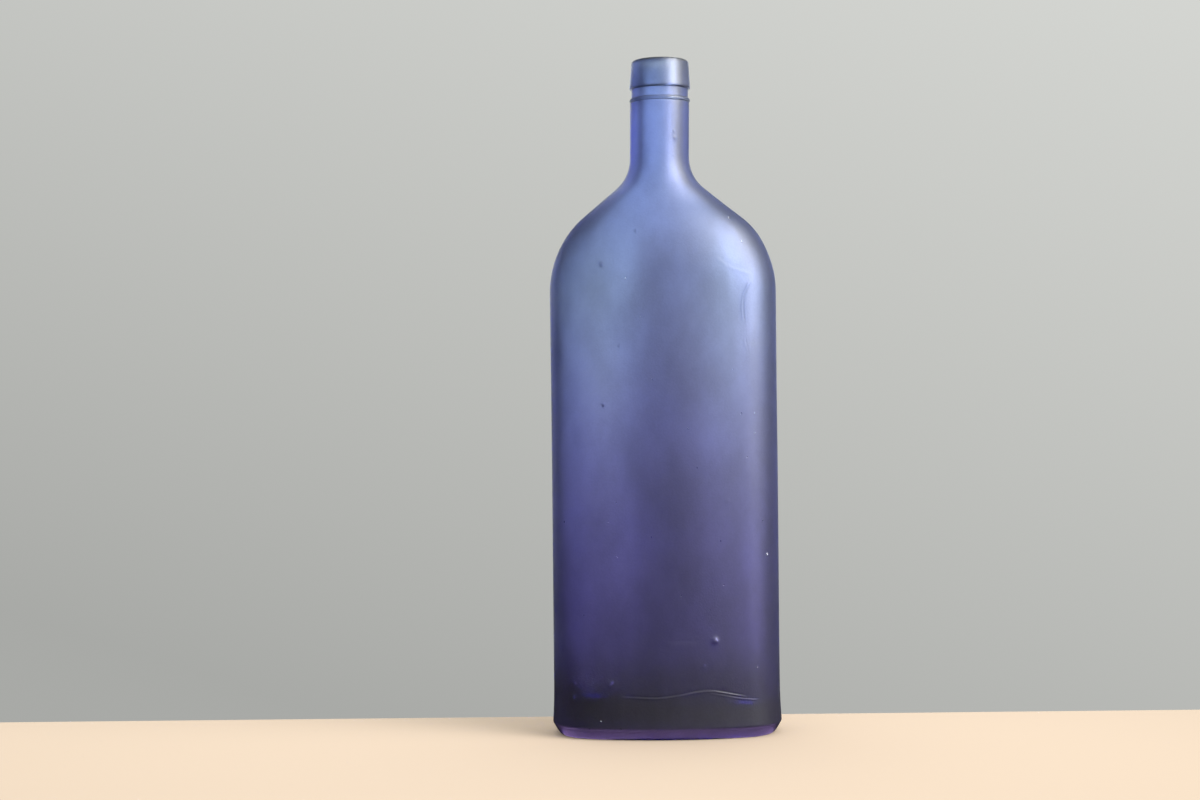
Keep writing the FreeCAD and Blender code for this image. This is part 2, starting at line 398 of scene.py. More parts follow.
# ---- small faults of the hot work --------------------------------------------------------
# Lines on the front, as (x, z) points in millimetres, with height and width in millimetres.
FOLDS = (
    (
        ((-24, 21.3), (-14, 20.9), (-6, 20.7), (4, 21.8), (12, 23.2), (19, 23.8), (26, 23.0), (41, 19.8)),
        0.26,
        0.36,
    ),
    (((19, 23.0), (26, 21.7), (34, 20.0), (44, 18.6)), 0.16, 0.30),
    (((-3, 48.3), (6, 48.0), (16, 48.2)), 0.14, 0.30),
    (((25, 235), (30, 231), (36, 228.5), (43, 226.5)), 0.07, 0.9),
    (((41.5, 223.5), (38.2, 216), (37.6, 210), (38.4, 203)), 0.28, 0.40),
    (((38.6, 195), (39.2, 192), (40, 189.5)), 0.10, 0.4),
    (((39, 191.2), (47, 191.6), (55, 191.0)), 0.06, 1.3),
)
# Lumps over blisters on the front: (x, z, height, width), in millimetres.
LUMPS = (
    (22.6, 48.2, 0.85, 1.7),
    (17.2, 36.0, 0.18, 1.1),
    (-28.0, 27.6, 0.35, 2.2),
    (-46.0, 20.2, 0.20, 1.6),
    (-30.5, 163.8, 0.20, 1.4),
    (29.6, 116.0, 0.16, 1.2),
    (-30.5, 232.0, 0.30, 1.5),
    (-13.5, 248.4, 0.16, 1.0),
    (-22.3, 192.3, 0.16, 1.0),
    (5.8, 298.3, 0.22, 0.6),
    (6.3, 294.8, 0.30, 0.8),
    (5.5, 286.4, 0.16, 0.6),
)
# Chips on the front, turned to the window: (x, z, radius), in millimetres.
CHIPS = (
    (49.4, 89.0, 0.42), (32.5, 254.8, 0.34), (37.8, 242.7, 0.28), (-18.9, 225.3, 0.28),
    (-12.6, 206.4, 0.28), (37.3, 158.8, 0.26), (43.2, 158.8, 0.26), (43.6, 149.1, 0.24),
    (39.8, 138.5, 0.24), (10.7, 151.1, 0.24), (47.0, 107.5, 0.24), (25.7, 97.7, 0.24),
    (-24.7, 116.2, 0.24), (-28.6, 105.5, 0.24), (-50.0, 105.5, 0.24), (-24.3, 90.0, 0.26),
    (5.8, 71.1, 0.24), (26.7, 75.4, 0.24), (43.7, 33.7, 0.28), (-32.5, 9.5, 0.26),
    (-22.8, 6.1, 0.24), (-39.3, 5.4, 0.24), (-6.0, 176.0, 0.20), (14.5, 132.0, 0.20),
    (-41.0, 61.0, 0.20), (20.5, 62.5, 0.20), (-8.0, 98.0, 0.20), (33.0, 181.0, 0.20),
)
CHIP_BREADTH = 1.9          # a chip's faces keep within this many of its radii
CHIP_DEPTH = 0.05 * MM
CHIP_FROST = 0.3            # a chip is this much as matt as the frosted skin
# How far a chip's face is drawn in at each step, and the breadth it then keeps within.
CHIP_STEPS = ((0.08 * MM, 1.7), (0.03 * MM, 1.25), (0.03 * MM, 1.0), (0.03 * MM, 0.75))
CHIP_RIM = 1.0              # the step whose points turn together with the middle
FRONT_Y = -4 * MM           # the front is the glass that stands out past this
# Where the camera and the window light stand.
EYE = Vector((-0.032, -0.95, 0.166))
WINDOW = Vector((0.58, -0.36, 0.74))


def between(p, q, r, s, share):
    """Value at a share of the way from q to r on a smooth curve through p, q, r and s."""
    bend = 2 * p - 5 * q + 4 * r - s
    twist = 3 * q - p - 3 * r + s
    return 0.5 * (2 * q + (r - p) * share + bend * share**2 + twist * share**3)


def curve_through(points, pieces=8):
    """A smooth line through the points, as more points."""
    ends = (points[0], *points, points[-1])
    line = []
    for a, b, c, d in zip(ends, ends[1:], ends[2:], ends[3:]):
        for i in range(pieces):
            line.append(tuple(between(*values, i / pieces) for values in zip(a, b, c, d)))
    line.append(points[-1])
    return line


def from_line(x, z, line):
    """Distance to the side of a line, and how far along it, from its nearer end."""
    best = 1e9
    aside = 0.0
    place = 0
    for i, ((x0, z0), (x1, z1)) in enumerate(zip(line, line[1:])):
        run_x, run_z = x1 - x0, z1 - z0
        share = ((x - x0) * run_x + (z - z0) * run_z) / (run_x**2 + run_z**2 + 1e-12)
        share = min(1.0, max(0.0, share))
        distance = math.hypot(x - x0 - share * run_x, z - z0 - share * run_z)
        if distance < best:
            best = distance
            aside = math.copysign(distance, (z - z0) * run_x - (x - x0) * run_z)
            place = i + share
    end_share = min(place, len(line) - 1 - place) / (len(line) - 1)
    return aside, end_share


def is_front(vert, frost_layer):
    """Whether a point is on the outside of the front; seen from its place, not its normal."""
    return vert.co.y < FRONT_Y and vert[frost_layer] > 0.5


class Fold:
    """A thin raised line on the front, with a dip along its upper side."""

    def __init__(self, points, height, width):
        self.line = curve_through(points)
        self.height = height
        self.width = width
        self.low = [min(p[i] for p in self.line) - 4 * width for i in (0, 1)]
        self.high = [max(p[i] for p in self.line) + 4 * width for i in (0, 1)]

    def covers(self, x, z):
        return abs(from_line(x, z, self.line)[0]) < 3 * self.width + 1

    def rise(self, x, z):
        aside, end_share = from_line(x, z, self.line)
        rise = bell(aside, self.width) - 0.8 * bell(aside - 1.7 * self.width, self.width)
        return rise * self.height * smooth_step(end_share / 0.12)


class Lump:
    """A round rise of the front over a blister."""

    def __init__(self, x, z, height, width):
        self.place = (x, z)
        self.height = height
        self.width = width
        self.low = (x - 2.5 * width, z - 2.5 * width)
        self.high = (x + 2.5 * width, z + 2.5 * width)

    def covers(self, x, z):
        return math.dist(self.place, (x, z)) < 2 * self.width

    def rise(self, x, z):
        return self.height * bell(math.dist(self.place, (x, z)), self.width)


def marks_near(marks, x, z):
    return [m for m in marks if m.low[0] < x < m.high[0] and m.low[1] < z < m.high[1]]


def mark_front(bm, frost_layer):
    """Divides the front finer at the folds and lumps, and raises them."""
    marks = [Fold(*fold) for fold in FOLDS] + [Lump(*lump) for lump in LUMPS]
    edges = set()
    for face in bm.faces:
        corner = face.verts[0].co
        if corner.y > FRONT_Y or not marks_near(marks, corner.x / MM, corner.z / MM):
            continue
        centre = face.calc_center_median()
        x, z = centre.x / MM, centre.z / MM
        if all(is_front(vert, frost_layer) for vert in face.verts):
            if any(mark.covers(x, z) for mark in marks_near(marks, x, z)):
                edges.update(face.edges)
    bmesh.ops.subdivide_edges(bm, edges=list(edges), cuts=3, use_grid_fill=True)
    bm.normal_update()
    moves = []
    for vert in bm.verts:
        if is_front(vert, frost_layer):
            x, z = vert.co.x / MM, vert.co.z / MM
            rise = sum(mark.rise(x, z) for mark in marks_near(marks, x, z))
            if abs(rise) > 0.002:
                moves.append((vert, rise * MM))
    for vert, rise in moves:
        vert.co += vert.normal * rise
    bm.normal_update()


def spread(verts, centre, radius):
    """Draws points in to at most this far from a centre."""
    for vert in verts:
        spoke = vert.co - centre
        vert.co = centre + spoke * min(1.0, radius / spoke.length)


def chip_front(bm, frost_layer):
    """Small chips: a face is drawn in step by step, and its middle turned to the window light."""
    fronts = []
    for face in bm.faces:
        if face.verts[0].co.y < FRONT_Y and all(is_front(vert, frost_layer) for vert in face.verts):
            centre = face.calc_center_median()
            fronts.append((centre.x / MM, centre.z / MM, face))
    chipped = {}
    for x, z, radius in CHIPS:
        nearest = min(fronts, key=lambda front: (front[0] - x) ** 2 + (front[1] - z) ** 2)[2]
        chipped[nearest] = radius * CHIP_BREADTH * MM
    faces = list(chipped)
    rims = {}
    for thickness, size in CHIP_STEPS:
        bmesh.ops.inset_individual(bm, faces=faces, thickness=thickness, depth=0)
        for face in faces:
            spread(face.verts, face.calc_center_median(), chipped[face] * size)
            if size == CHIP_RIM:
                rims[face] = list(face.verts)
    for face in faces:
        centre = face.calc_center_median()
        halfway = (EYE - centre).normalized() + (WINDOW - centre).normalized()
        turned = face.normal.rotation_difference(halfway.normalized())
        for vert in rims[face] + list(face.verts):
            vert.co = centre + turned @ (vert.co - centre) - face.normal * CHIP_DEPTH
            vert[frost_layer] = CHIP_FROST


# Air caught in the glass: (x, z, depth under the front, half sizes across, through, up), in millimetres.
BUBBLES = (
    (22.6, 48.0, 1.7, 1.5, 0.75, 1.5),
    (-28.0, 27.4, 1.9, 1.2, 0.8, 1.1),
    (17.2, 36.0, 1.6, 0.8, 0.6, 0.9),
    (-46.0, 20.0, 2.2, 0.9, 0.8, 0.9),
    (-30.5, 163.8, 1.5, 0.7, 0.5, 1.2),
    (29.6, 116.0, 1.5, 0.6, 0.5, 1.0),
    (-30.5, 232.0, 1.5, 0.7, 0.5, 1.3),
    (-13.5, 248.4, 1.5, 0.5, 0.4, 1.0),
    (-22.3, 192.3, 1.5, 0.5, 0.4, 1.0),
)
SEEDS = 90                  # tiny bubbles spread all round the wall


def add_bubble(bm, place, sizes, rings):
    made = bmesh.ops.create_uvsphere(bm, u_segments=rings * 2, v_segments=rings, radius=1)["verts"]
    bmesh.ops.scale(bm, vec=sizes, verts=made)
    bmesh.ops.translate(bm, vec=place, verts=made)


def trap_air(body):
    """Adds closed hollows to the glass: their faces look into the air inside them."""
    bm = bmesh.new()
    for x, z, under, across, through, up in BUBBLES:
        y = -oval_depth(x * MM, half_width_at(z * MM), half_depth_at(z * MM)) + under * MM
        place = (x * MM + lean_at(z * MM), y, z * MM)
        add_bubble(bm, place, (across * MM, through * MM, up * MM), 12)
    rng = random.Random(11)
    for _ in range(SEEDS):
        z = rng.uniform(32 * MM, 262 * MM)
        share = rng.uniform(0.05, 0.95)
        under = rng.uniform(0.9, 1.7) * MM
        x, y = oval_quarter(share, half_width_at(z) - under, half_depth_at(z) - under)
        x *= rng.choice((-1, 1))
        y *= rng.choice((-1, 1))
        size = rng.uniform(0.12, 0.3) * MM
        add_bubble(bm, (x + lean_at(z), y, z), (size, size, size * rng.uniform(1, 2.2)), 6)
    bmesh.ops.reverse_faces(bm, faces=bm.faces)
    for face in bm.faces:
        face.smooth = True
    hollows = bpy.data.meshes.new("trapped_air")
    bm.to_mesh(hollows)
    bm.free()
    body.from_mesh(hollows)
    bpy.data.meshes.remove(hollows)


def blown_body(material):
    bm = bmesh.new()
    depth_layer = bm.verts.layers.float.new("depth")
    frost_layer = bm.verts.layers.float.new("frost")
    turn(bm, body_outline(), depth_layer, frost_layer)
    press_oval(bm, depth_layer)
    bm.normal_update()
    hand_waves(bm, frost_layer)
    slant_floor(bm, frost_layer)
    lean(bm)
    mark_front(bm, frost_layer)
    for face in bm.faces:
        face.smooth = True
    chip_front(bm, frost_layer)
    bmesh.ops.recalc_face_normals(bm, faces=bm.faces)
    bm.verts.layers.float.remove(depth_layer)
    trap_air(bm)
    return finished("blown_glass_body", bm, material, "blown_body")


# ---- lip and string ring -----------------------------------------------------------------
# The string ring's outside from its foot up: shares of how far it stands out, and of its height.
STRING_PROFILE = (
    (0.62, 0), (0.8, 0.1), (0.93, 0.25), (1, 0.5),
    (0.97, 0.7), (0.8, 0.86), (0.5, 0.96), (0, 1),
)


def turned_piece(outline):
    """A ring-shaped piece turned from a closed (radius, height, frost) outline."""
    bm = bmesh.new()
    depth_layer = bm.verts.layers.float.new("depth")
    frost_layer = bm.verts.layers.float.new("frost")
    turn(bm, [(r, r, z, frost) for r, z, frost in outline + outline[:1]], depth_layer, frost_layer)
    lean(bm)
    for face in bm.faces:
        face.smooth = True
    bm.verts.layers.float.remove(depth_layer)
    return bm


def applied_lip(material):
    edge_z = HEIGHT - LIP_EDGE_RADIUS
    outline = []
    for radius, z in (
        (GROOVE_RADIUS - 0.3 * MM, LIP_Z),
        (LIP_LOWER_RADIUS - 0.9 * MM, LIP_Z),
        (LIP_LOWER_RADIUS - 0.55 * MM, LIP_Z + 0.1 * MM),
        (LIP_LOWER_RADIUS - 0.25 * MM, LIP_Z + 0.35 * MM),
        (LIP_LOWER_RADIUS - 0.06 * MM, LIP_Z + 0.75 * MM),
        (LIP_LOWER_RADIUS, LIP_Z + 1.2 * MM),
    ):
        outline.append((radius, z, 1.0))
    for z in steps(LIP_Z + 2.2 * MM, edge_z, 1.6 * MM):
        share = (z - LIP_Z) / (edge_z - LIP_Z)
        outline.append((LIP_LOWER_RADIUS + (LIP_UPPER_RADIUS - LIP_LOWER_RADIUS) * share, z, 1.0))
    for i in range(9):
        angle = QUARTER * i / 8
        radius = LIP_UPPER_RADIUS - LIP_EDGE_RADIUS * (1 - math.cos(angle))
        outline.append((radius, edge_z + LIP_EDGE_RADIUS * math.sin(angle), 1.0))
    outline.append((NECK_END_RADIUS + 0.1 * MM, HEIGHT, 1.0))
    for z in [HEIGHT - 0.02 * MM] + steps(HEIGHT - 2 * MM, LIP_Z + 1 * MM, 2.5 * MM) + [LIP_Z]:
        outline.append((NECK_END_RADIUS, z, 0.0))
    bm = turned_piece(outline)
    return finished("applied_lip_glass", bm, material, "applied_lip")


def string_ring(material):
    middle_z = (STRING_Z + STRING_TOP_Z) / 2
    depth = STRING_RADIUS - GROOVE_RADIUS
    height = STRING_TOP_Z - STRING_Z
    outline = []
    for out, up in STRING_PROFILE:
        outline.append((GROOVE_RADIUS + depth * out, STRING_Z + height * up, 1.0))
    outline.append((GROOVE_RADIUS - FUSED, STRING_TOP_Z, 0.0))
    outline.append((GROOVE_RADIUS - FUSED, middle_z, 0.0))
    outline.append((GROOVE_RADIUS - FUSED, STRING_Z, 0.0))
    bm = turned_piece(outline)
    return finished("trailed_string_ring", bm, material, "string_ring")


# ---- materials ---------------------------------------------------------------------------
CLOUD_SCALE = (38, 38, 22)  # clouds to the metre, fewer upwards, so they are drawn out
GRAIN_SCALE = 1100
POLISHED_ROUGHNESS = 0.04
FROSTED_ROUGHNESS = 0.54
DARKEST_CLOUD = 0.68
DARKEST_GRAIN = 0.92
SMOOTHEST_CLOUD = 0.86
# Heights over which the glass's base colour lightens upwards: from a darker violet at the foot, partly
# deeper glass and partly painted shade, to a lighter tint above.
SHADED_TINT_Z = 0.02
LIT_TINT_Z = 0.26
DEEP_BLUE = (0.30, 0.35, 0.76)


def add_node(tree, kind, x=0, y=0, **values):
    node = tree.nodes.new(kind)
    node.location = (x, y)
    for name, value in values.items():
        setattr(node, name, value)
    return node


def eased(tree, value, start, end, low, high, x=0, y=0):
    """Socket that goes from low to high as value goes from start to end."""
    node = add_node(tree, "ShaderNodeMapRange", x, y, interpolation_type="SMOOTHSTEP")
    node.inputs["From Min"].default_value = start
    node.inputs["From Max"].default_value = end
    node.inputs["To Min"].default_value = low
    node.inputs["To Max"].default_value = high
    tree.links.new(value, node.inputs["Value"])
    return node.outputs["Result"]


def multiplied(tree, first, second, x=0, y=0):
    node = add_node(tree, "ShaderNodeMath", x, y, operation="MULTIPLY")
    tree.links.new(first, node.inputs[0])
    tree.links.new(second, node.inputs[1])
    return node.outputs["Value"]


def etched_surface():
    """Clouds drawn out upwards and a fine grain, shared by the glasses; both go from 0 to 1."""
    group = bpy.data.node_groups.new("etched_surface", "ShaderNodeTree")
    group.interface.new_socket("Place", in_out="INPUT", socket_type="NodeSocketVector")
    group.interface.new_socket("Clouds", in_out="OUTPUT", socket_type="NodeSocketFloat")
    group.interface.new_socket("Grain", in_out="OUTPUT", socket_type="NodeSocketFloat")
    inside = add_node(group, "NodeGroupInput", -900, 0)
    outside = add_node(group, "NodeGroupOutput", 300, 0)
    drawn_out = add_node(group, "ShaderNodeMapping", -700, 100)
    drawn_out.inputs["Scale"].default_value = CLOUD_SCALE
    clouds = add_node(group, "ShaderNodeTexNoise", -400, 100)
    clouds.inputs["Scale"].default_value = 1
    clouds.inputs["Detail"].default_value = 5
    clouds.inputs["Roughness"].default_value = 0.6
    grain = add_node(group, "ShaderNodeTexNoise", -400, -200)
    grain.inputs["Scale"].default_value = GRAIN_SCALE
    grain.inputs["Detail"].default_value = 2
    link = group.links.new
    link(inside.outputs["Place"], drawn_out.inputs["Vector"])
    link(drawn_out.outputs["Vector"], clouds.inputs["Vector"])
    link(inside.outputs["Place"], grain.inputs["Vector"])
    link(clouds.outputs["Fac"], outside.inputs["Clouds"])
    link(grain.outputs["Fac"], outside.inputs["Grain"])
    return group


def frosted_glass(name, surface, low_tint_and_painted_shade, lit_high_tint, density):
    """Satin, sea-worn glass: rough where the frost attribute is 1, fire-polished where it is 0. Its base
    colour is darker and more violet towards the foot, partly deeper glass and partly painted shade.
    """
    material = bpy.data.materials.new(name)
    material.use_nodes = True
    tree = material.node_tree
    tree.nodes.clear()
    link = tree.links.new
    out = add_node(tree, "ShaderNodeOutputMaterial", 900, 0)
    glass = add_node(tree, "ShaderNodeBsdfPrincipled", 600, 0)
    glass.inputs["IOR"].default_value = 1.5
    glass.inputs["Transmission Weight"].default_value = 0.985
    link(glass.outputs["BSDF"], out.inputs["Surface"])
    volume = add_node(tree, "ShaderNodeVolumeAbsorption", 600, -500)
    volume.inputs["Color"].default_value = (*DEEP_BLUE, 1)
    volume.inputs["Density"].default_value = density
    link(volume.outputs["Volume"], out.inputs["Volume"])

    frost = add_node(tree, "ShaderNodeAttribute", -900, 0, attribute_name="frost")
    place = add_node(tree, "ShaderNodeTexCoord", -1100, -300)
    etched = add_node(tree, "ShaderNodeGroup", -900, -300, node_tree=surface)
    link(place.outputs["Object"], etched.inputs["Place"])
    apart = add_node(tree, "ShaderNodeSeparateXYZ", -900, 300)
    link(place.outputs["Object"], apart.inputs["Vector"])
    # Painted shade: the base colour goes from the darker violet tint at the foot to the lighter tint above,
    # partly the glass's deeper colour and partly painted shade for the less lit lower part.
    height = eased(tree, apart.outputs["Z"], SHADED_TINT_Z, LIT_TINT_Z, 0.0, 1.0, -600, 300)
    colour = add_node(tree, "ShaderNodeMix", -200, 300, data_type="RGBA")
    colour.inputs["A"].default_value = (*low_tint_and_painted_shade, 1)
    colour.inputs["B"].default_value = (*lit_high_tint, 1)
    link(height, colour.inputs["Factor"])
    cloudy = eased(tree, etched.outputs["Clouds"], 0.3, 0.7, DARKEST_CLOUD, 1.0, -600, -100)
    grainy = eased(tree, etched.outputs["Grain"], 0.3, 0.75, DARKEST_GRAIN, 1.0, -600, -300)
    mottled = add_node(tree, "ShaderNodeMix", 200, 300, data_type="RGBA", blend_type="MULTIPLY")
    mottled.inputs["Factor"].default_value = 1.0
    link(colour.outputs["Result"], mottled.inputs["A"])
    link(multiplied(tree, cloudy, grainy, -300, -200), mottled.inputs["B"])
    link(mottled.outputs["Result"], glass.inputs["Base Color"])

    rough = add_node(tree, "ShaderNodeMapRange", -300, 0)
    rough.inputs["To Min"].default_value = POLISHED_ROUGHNESS
    rough.inputs["To Max"].default_value = FROSTED_ROUGHNESS
    link(frost.outputs["Fac"], rough.inputs["Value"])
    unevenly = eased(tree, etched.outputs["Clouds"], 0.3, 0.7, 1.0, SMOOTHEST_CLOUD, -600, -500)
    link(multiplied(tree, rough.outputs["Result"], unevenly, 0, 0), glass.inputs["Roughness"])

    bump = add_node(tree, "ShaderNodeBump", 300, -300)
    bump.inputs["Strength"].default_value = 0.25
    bump.inputs["Distance"].default_value = 0.0003
    grain_height = multiplied(tree, etched.outputs["Grain"], frost.outputs["Fac"], 0, -300)
    link(grain_height, bump.inputs["Height"])
    link(bump.outputs["Normal"], glass.inputs["Normal"])
    return material


# ---- studio ------------------------------------------------------------------------------
BACKDROP = 0.51             # brightness of the backdrop straight ahead
DIMMEST_BACKDROP = 0.40     # and at its dimmest, seen from high up
# Painted light: the backdrop, seen only by the camera, grows lighter to the right and upwards as if lit from
# the upper right.
BACKDROP_LIGHT_ACROSS = 0.19      # it grows lighter by this much to the right
BACKDROP_LIGHT_UPWARDS = 0.52     # and by this much upwards
ROOM = 0.07                 # soft light from all round
TABLE_LIGHT = 2.85          # soft light on the table from all round
BOARD_COLOUR = (0.255, 0.200, 0.153)
BOARD_UNSEEN_COLOUR = (0.016, 0.007, 0.016)
BOARD_SIZE = 3.0
BOARD_THICKNESS = 0.04
BOARD_BEHIND = 0.05         # the board reaches this far behind the middle of the bottle
LIGHT_SPREAD = math.radians(80)
PANEL_HEIGHT = HEIGHT + 18 * MM
PANEL_BEHIND = 14 * MM      # the light panel stands this far behind the glass
PANEL_LEFT_MARGIN = 34 * MM
PANEL_RIGHT_MARGIN = 20 * MM
PANEL_AT_FOOT = 0.28        # its brightness at the foot
PANEL_AT_MOUTH = 1.48       # and at the mouth
PANEL_AT_NECK = 1.7         # times brighter behind the neck
PANEL_AT_RIGHT = 1.3        # times brighter at the right edge
PANEL_MIDDLE = 0.006        # the dim strip up the panel stands this far right of the middle
PANEL_VIOLET = (0.98, 0.84, 1.0)
PANEL_WHITE = (0.95, 1.0, 0.97)
GLOW_COLOUR = (0.64, 0.40, 1.0)
GLOW_STRENGTH = 2.5
GLOW_FRONT_Y = -8 * MM      # the glow lies on the table only in front of this


def placed_mesh(name, bm, material):
    mesh = bpy.data.meshes.new(name)
    bm.to_mesh(mesh)
    bm.free()
    placed = bpy.data.objects.new(name, mesh)
    bpy.context.scene.collection.objects.link(placed)
    mesh.materials.append(material)
    return placed


def board_material():
    """Pale to the camera and dark to everything else, so it throws little light into the foot."""
    material = bpy.data.materials.new("pale_board")
    material.use_nodes = True
    tree = material.node_tree
    shader = tree.nodes["Principled BSDF"]
    shader.inputs["Roughness"].default_value = 0.6
    shader.inputs["Specular IOR Level"].default_value = 0.0
    seen = add_node(tree, "ShaderNodeLightPath", -600, 300)
    colour = add_node(tree, "ShaderNodeMix", -300, 300, data_type="RGBA")
    colour.inputs["A"].default_value = (*BOARD_UNSEEN_COLOUR, 1)
    colour.inputs["B"].default_value = (*BOARD_COLOUR, 1)
    tree.links.new(seen.outputs["Is Camera Ray"], colour.inputs["Factor"])
    tree.links.new(colour.outputs["Result"], shader.inputs["Base Color"])
    return material


def table_top():
    """A plain pale board with its back edge just behind the bottle."""
    bm = bmesh.new()
    bmesh.ops.create_cube(bm, size=1)
    bmesh.ops.scale(bm, vec=(BOARD_SIZE, BOARD_SIZE, BOARD_THICKNESS), verts=bm.verts)
    place = (0, BOARD_BEHIND - BOARD_SIZE / 2, -BOARD_THICKNESS / 2)
    bmesh.ops.translate(bm, vec=place, verts=bm.verts)
    bmesh.ops.bevel(bm, geom=bm.edges[:], affect="EDGES", offset=0.002, segments=3, profile=0.5, material=-1)
    board = placed_mesh("table_top", bm, board_material())


def soft_light(name, place, target, width, height, power):
    data = bpy.data.lights.new(name, "AREA")
    data.shape = "RECTANGLE"
    data.size = width
    data.size_y = height
    data.energy = power
    data.spread = LIGHT_SPREAD
    lamp = bpy.data.objects.new(name, data)
    lamp.location = place
    lamp.rotation_euler = (Vector(target) - Vector(place)).to_track_quat("-Z", "Y").to_euler()
    lamp.visible_camera = False
    bpy.context.scene.collection.objects.link(lamp)


def room_light():
    """The backdrop for the camera, the room's light for the glass, and more of it for the table."""
    world = bpy.data.worlds.new("studio")
    world.use_nodes = True
    world.cycles.sampling_method = "NONE"
    bpy.context.scene.world = world
    tree = world.node_tree
    tree.nodes.clear()
    link = tree.links.new
    out = add_node(tree, "ShaderNodeOutputWorld", 900, 0)
    direction = add_node(tree, "ShaderNodeTexCoord", -600, 0)
    apart = add_node(tree, "ShaderNodeSeparateXYZ", -400, 0)
    link(direction.outputs["Generated"], apart.inputs["Vector"])
    # Painted light: the backdrop grows lighter to the right and upwards, as if lit from the upper right.
    across = add_node(tree, "ShaderNodeMath", -200, 100, operation="MULTIPLY_ADD")
    across.inputs[1].default_value = BACKDROP_LIGHT_ACROSS
    across.inputs[2].default_value = BACKDROP
    link(apart.outputs["X"], across.inputs[0])
    upwards = add_node(tree, "ShaderNodeMath", 0, 100, operation="MULTIPLY_ADD")
    upwards.inputs[1].default_value = BACKDROP_LIGHT_UPWARDS
    link(apart.outputs["Z"], upwards.inputs[0])
    link(across.outputs["Value"], upwards.inputs[2])
    pale = add_node(tree, "ShaderNodeMath", 150, 100, operation="MAXIMUM")
    pale.inputs[1].default_value = DIMMEST_BACKDROP
    link(upwards.outputs["Value"], pale.inputs[0])
    backdrop = add_node(tree, "ShaderNodeBackground", 300, 100)
    backdrop.inputs["Color"].default_value = (0.985, 1.0, 0.96, 1)
    link(pale.outputs["Value"], backdrop.inputs["Strength"])
    room = add_node(tree, "ShaderNodeBackground", 300, -100)
    room.inputs["Color"].default_value = (0.95, 1.0, 1.0, 1)
    seen = add_node(tree, "ShaderNodeLightPath", -400, 400)
    on_table = add_node(tree, "ShaderNodeMath", 0, -200, operation="MULTIPLY_ADD")
    on_table.inputs[1].default_value = TABLE_LIGHT - ROOM
    on_table.inputs[2].default_value = ROOM
    link(seen.outputs["Is Diffuse Ray"], on_table.inputs[0])
    link(on_table.outputs["Value"], room.inputs["Strength"])
    both = add_node(tree, "ShaderNodeMixShader", 600, 0)
    link(seen.outputs["Is Camera Ray"], both.inputs["Fac"])
    link(room.outputs["Background"], both.inputs[1])
    link(backdrop.outputs["Background"], both.inputs[2])
    link(both.outputs["Shader"], out.inputs["Surface"])


def panel_glow():
    """Light that grows upwards and to the right, with a dim strip up the middle and none at the foot."""
    material = bpy.data.materials.new("panel_glow")
    material.use_nodes = True
    tree = material.node_tree
    tree.nodes.clear()
    link = tree.links.new
    out = add_node(tree, "ShaderNodeOutputMaterial", 900, 0)
    glow = add_node(tree, "ShaderNodeEmission", 600, 0)
    place = add_node(tree, "ShaderNodeTexCoord", -900, 0)
    apart = add_node(tree, "ShaderNodeSeparateXYZ", -700, 0)
    link(place.outputs["Object"], apart.inputs["Vector"])
    rise = eased(tree, apart.outputs["Z"], 0.0, 0.34, PANEL_AT_FOOT, PANEL_AT_MOUTH, -400, 200)
    right = eased(tree, apart.outputs["X"], 0.02, 0.06, 1.0, PANEL_AT_RIGHT, -400, 0)
    foot = eased(tree, apart.outputs["Z"], 0.017, 0.040, 0.0, 1.0, -400, -400)
    neck = eased(tree, apart.outputs["Z"], 0.27, 0.345, 1.0, PANEL_AT_NECK, -400, -800)

    off_middle = add_node(tree, "ShaderNodeMath", -750, -200, operation="ADD")
    off_middle.inputs[1].default_value = -PANEL_MIDDLE
    link(apart.outputs["X"], off_middle.inputs[0])
    aside = add_node(tree, "ShaderNodeMath", -600, -200, operation="ABSOLUTE")
    link(off_middle.outputs["Value"], aside.inputs[0])
    middle = eased(tree, aside.outputs["Value"], 0.003, 0.022, 0.0, 1.0, -400, -200)
    high = eased(tree, apart.outputs["Z"], 0.23, 0.27, 0.58, 1.0, -400, -600)
    shade = add_node(tree, "ShaderNodeMath", 0, -300, operation="MAXIMUM")
    link(middle, shade.inputs[0])
    link(high, shade.inputs[1])

    tone = add_node(tree, "ShaderNodeMix", 300, 300, data_type="RGBA")
    tone.inputs["A"].default_value = (*PANEL_VIOLET, 1)
    tone.inputs["B"].default_value = (*PANEL_WHITE, 1)
    link(shade.outputs["Value"], tone.inputs["Factor"])
    link(tone.outputs["Result"], glow.inputs["Color"])
    upper = multiplied(tree, multiplied(tree, rise, right, 0, 100), foot, 100, 0)
    strength = multiplied(tree, multiplied(tree, upper, neck, 200, 0), shade.outputs["Value"], 400, 0)
    link(strength, glow.inputs["Strength"])
    link(glow.outputs["Emission"], out.inputs["Surface"])
    return material


def light_panel():
    """An upright panel of the bottle's outline behind the glass; only the glass sees its light."""
    bm = bmesh.new()
    bmesh.ops.create_grid(bm, x_segments=1, y_segments=60, size=0.5)
    bmesh.ops.scale(bm, vec=(1, PANEL_HEIGHT, 1), verts=bm.verts)
    bmesh.ops.rotate(bm, cent=(0, 0, 0), matrix=Matrix.Rotation(QUARTER, 3, "X"), verts=bm.verts)
    place = (0, HEEL_HALF_DEPTH + PANEL_BEHIND, PANEL_HEIGHT / 2 + 1 * MM)
    bmesh.ops.translate(bm, vec=place, verts=bm.verts)
    for vert in bm.verts:
        half_width = half_width_at(vert.co.z)
        vert.co.x = half_width + PANEL_RIGHT_MARGIN if vert.co.x > 0 else -half_width - PANEL_LEFT_MARGIN
    panel = placed_mesh("light_panel", bm, panel_glow())
    panel.visible_camera = False
    panel.visible_diffuse = False
    panel.visible_shadow = False


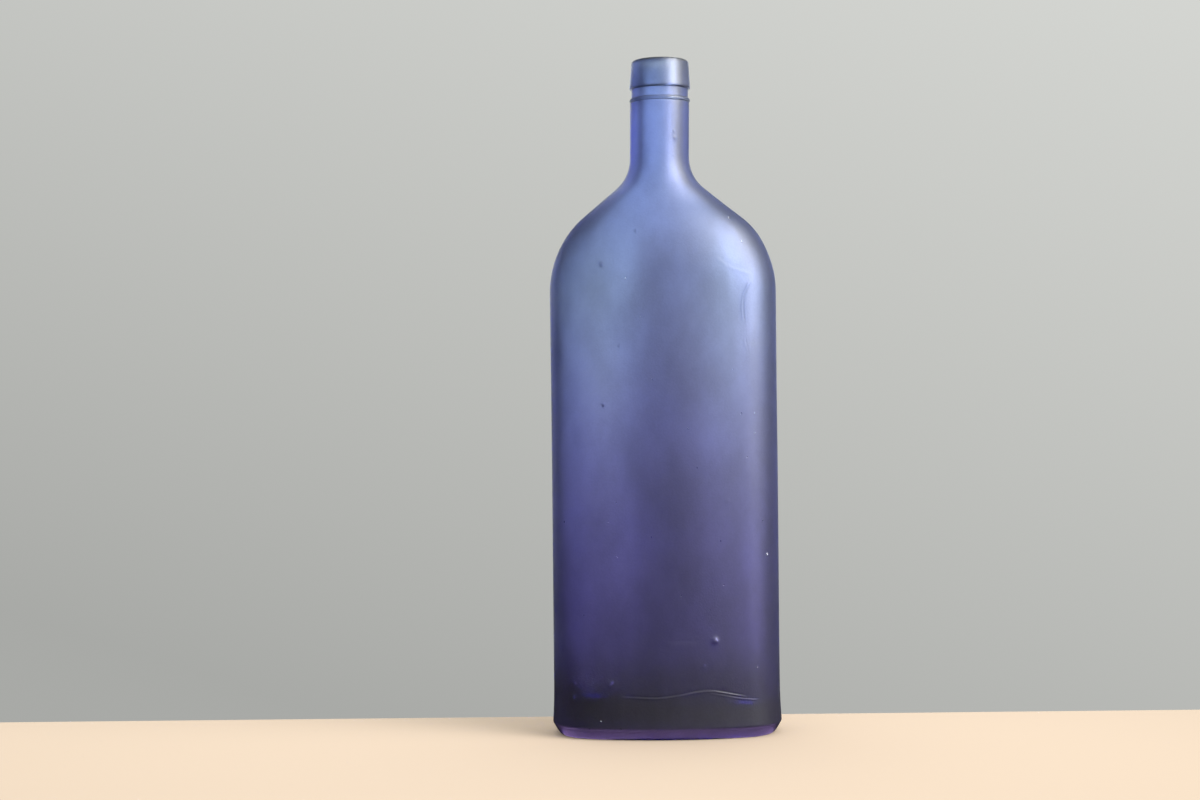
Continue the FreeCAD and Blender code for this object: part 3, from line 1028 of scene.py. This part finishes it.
def violet_glow():
    material = bpy.data.materials.new("violet_glow")
    material.use_nodes = True
    material.cycles.emission_sampling = "NONE"
    tree = material.node_tree
    tree.nodes.clear()
    out = add_node(tree, "ShaderNodeOutputMaterial", 300, 0)
    glow = add_node(tree, "ShaderNodeEmission")
    glow.inputs["Color"].default_value = (*GLOW_COLOUR, 1)
    glow.inputs["Strength"].default_value = GLOW_STRENGTH
    tree.links.new(glow.outputs["Emission"], out.inputs["Surface"])
    return material


def table_glow():
    """The violet light that the glass throws on the table in front of its foot, seen only in reflections."""
    bm = bmesh.new()
    for margin in (-3 * MM, 7 * MM):
        made = bmesh.ops.create_circle(bm, segments=64, radius=1)["verts"]
        size = (HEEL_HALF_WIDTH + margin, HEEL_HALF_DEPTH + margin, 1)
        bmesh.ops.scale(bm, vec=size, verts=made)
    bmesh.ops.bridge_loops(bm, edges=bm.edges)
    behind = [face for face in bm.faces if face.calc_center_median().y > GLOW_FRONT_Y]
    bmesh.ops.delete(bm, geom=behind, context="FACES")
    bmesh.ops.translate(bm, vec=(0, 0, 0.1 * MM), verts=bm.verts)
    patch = placed_mesh("table_glow", bm, violet_glow())
    patch.visible_camera = False
    patch.visible_diffuse = False
    patch.visible_transmission = False
    patch.visible_shadow = False


def camera():
    data = bpy.data.cameras.new("camera")
    data.lens = 57
    data.sensor_width = 36
    data.clip_start = 0.01
    data.clip_end = 50
    eye = bpy.data.objects.new("camera", data)
    eye.location = EYE
    eye.rotation_euler = (QUARTER, math.radians(0.61), 0)
    bpy.context.scene.collection.objects.link(eye)
    bpy.context.scene.camera = eye


surface = etched_surface()
# Each glass takes a darker violet foot colour, partly painted shade, and a lighter top colour.
body_glass = frosted_glass("frosted_blue_glass", surface, (0.70, 0.61, 1.0), (0.77, 0.88, 0.98), 150)
lip_glass = frosted_glass("frosted_blue_lip_glass", surface, (0.71, 0.64, 1.0), (0.90, 0.96, 1.0), 105)
blown_body(body_glass)
applied_lip(lip_glass)
string_ring(lip_glass)

table_top()
room_light()
light_panel()
table_glow()
soft_light("window", WINDOW, (0, 0, 0.36), 0.70, 0.68, 5.6)
soft_light("side_window", (0.78, -0.45, 0.46), (0, 0, 0.32), 0.34, 0.46, 1.8)
camera()
bpy.context.scene.view_settings.view_transform = "Standard"
